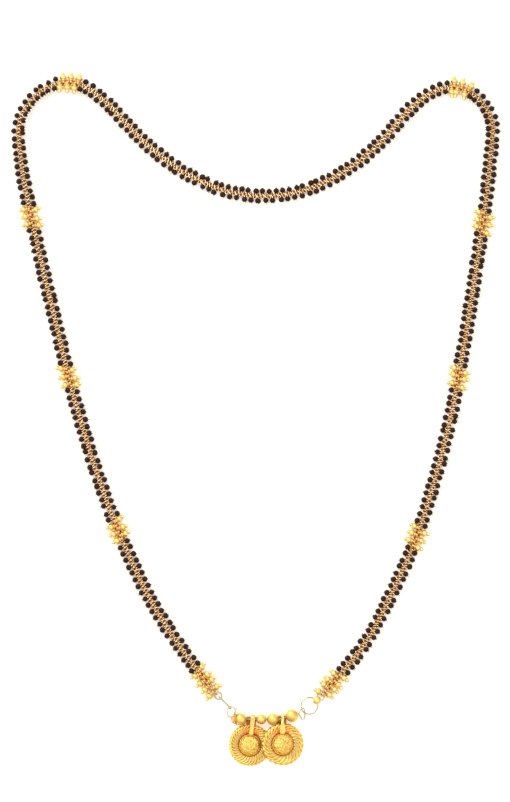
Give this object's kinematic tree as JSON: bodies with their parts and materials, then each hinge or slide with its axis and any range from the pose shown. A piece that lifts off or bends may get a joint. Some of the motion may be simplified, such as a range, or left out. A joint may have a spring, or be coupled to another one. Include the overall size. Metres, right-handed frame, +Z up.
{
  "type": "mangalsutra necklace",
  "caption": "Long necklace of black beads in rows along a gold wire braid, with gold bead clusters and domed gold pendants in coiled wire frames.",
  "frame": {"origin": "on the table, under the middle of the necklace's outline as it lies", "axes": "+Z up from the table it lies on, +Y from the pendants to the back of the neck, +X to the right seen from above"},
  "size_m": [0.1959, 0.2777, 0.0053],
  "materials": {
    "black_glass": "glossy opaque black glass",
    "braid_gold": "bright drawn gold wire with dark gaps",
    "bead_gold": "satin yellow gold",
    "wire_gold": "polished pale gold wire",
    "pendant_gold": "fine satin yellow gold, warmer in its crevices"
  },
  "bodies": {
    "root": {"gold_braid": "braid_gold", "black_beads_1": "black_glass", "black_beads_2": "black_glass", "black_beads_3": "black_glass", "black_beads_4": "black_glass", "black_beads_5": "black_glass", "black_beads_6": "black_glass", "black_beads_7": "black_glass", "black_beads_8": "black_glass", "black_beads_9": "black_glass", "gold_cluster_1": "bead_gold", "gold_cluster_2": "bead_gold", "gold_cluster_3": "bead_gold", "gold_cluster_4": "bead_gold", "gold_cluster_5": "bead_gold", "gold_cluster_6": "bead_gold", "gold_cluster_7": "bead_gold", "gold_cluster_8": "bead_gold", "gold_cluster_9": "bead_gold", "gold_cluster_10": "bead_gold", "left_end_eye": "wire_gold", "left_small_ring": "wire_gold", "long_link": "wire_gold", "carrier_wire": "wire_gold", "hollow_bead_a": "bead_gold", "hollow_bead_b": "bead_gold", "hollow_bead_c": "bead_gold", "hollow_bead_d": "bead_gold", "left_pendant": "pendant_gold", "right_pendant": "pendant_gold", "large_ring": "wire_gold", "ball_link": "wire_gold", "right_small_ring": "wire_gold", "right_end_eye": "wire_gold"}
  },
  "joints": []
}
